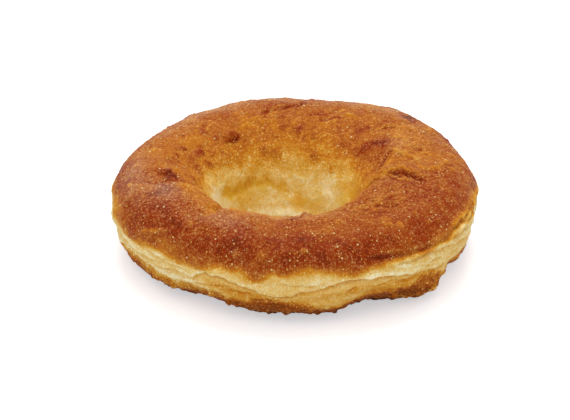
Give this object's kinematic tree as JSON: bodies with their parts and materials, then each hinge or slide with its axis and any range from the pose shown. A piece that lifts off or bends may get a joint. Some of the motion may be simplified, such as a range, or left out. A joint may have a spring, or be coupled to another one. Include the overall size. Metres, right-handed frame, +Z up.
{
  "type": "fried dough pastry",
  "caption": "Ring of fried dough with a browned, blistered top crust, a pale folded belt round its side and an off-centre hole.",
  "frame": {"origin": "centre of the bounding box's bottom, on the surface that the ring rests on", "axes": "+Z up through the hole, +X to the right and +Y away from the viewer of the pictured side"},
  "size_m": [0.1094, 0.111, 0.0282],
  "materials": {
    "fried_dough": "oily satin, reddish brown blistered crust over pale yellow crumb"
  },
  "bodies": {
    "root": {"dough_ring": "fried_dough"}
  },
  "joints": []
}
